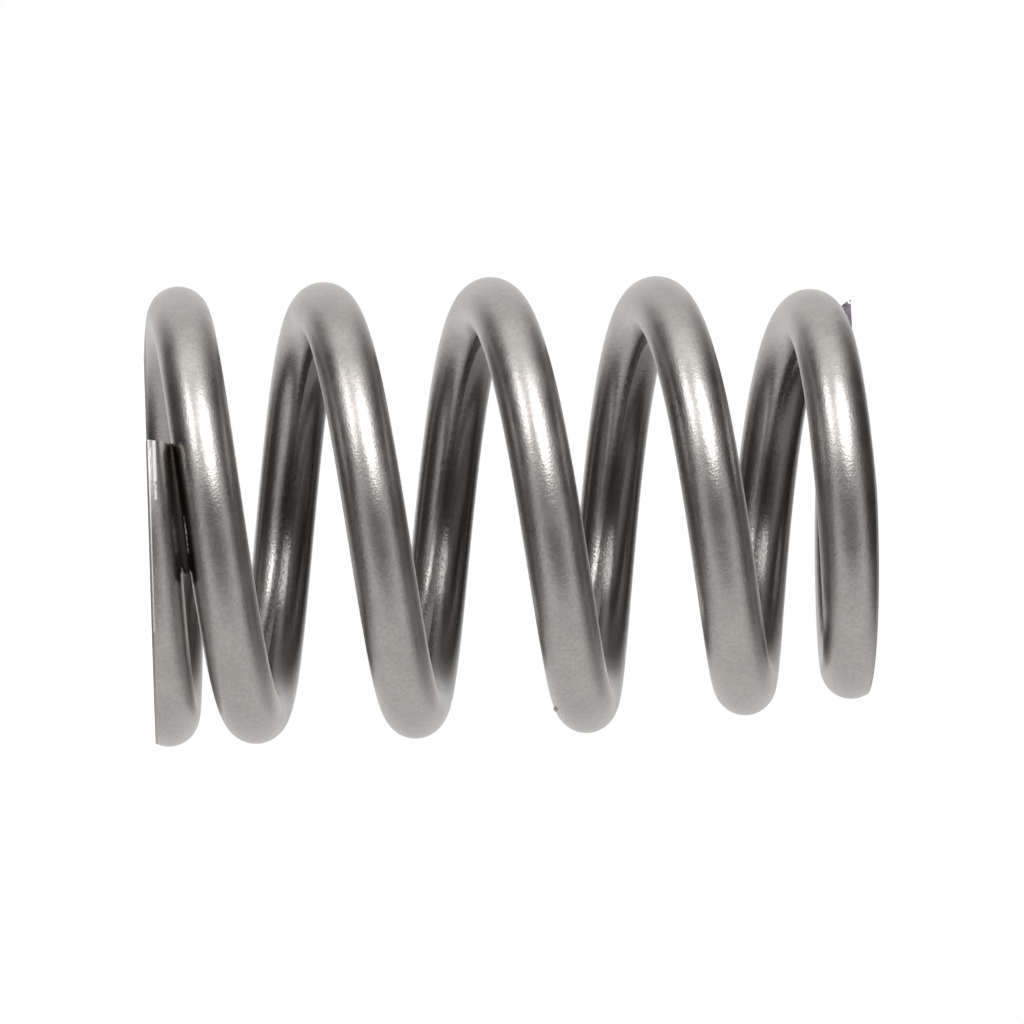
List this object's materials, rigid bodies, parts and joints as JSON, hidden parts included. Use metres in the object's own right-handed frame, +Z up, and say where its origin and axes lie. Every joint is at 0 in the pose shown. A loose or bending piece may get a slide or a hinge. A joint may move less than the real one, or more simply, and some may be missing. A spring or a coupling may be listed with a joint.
{
  "type": "engine valve spring",
  "caption": "Coiled steel valve spring that narrows towards its top, with closed, flat-ground ends; it pushes an engine valve shut.",
  "frame": {"origin": "on the spring's axis, in the plane of the lower ground face", "axes": "+Z up the spring's axis from the wide seat end to the narrow retainer end; the wire rises counter-clockwise seen from +Z"},
  "size_m": [0.0304, 0.0304, 0.0474],
  "materials": {
    "spring_steel": "satin, shot-peened"
  },
  "bodies": {
    "root": {"valve_spring": "spring_steel"}
  },
  "joints": []
}
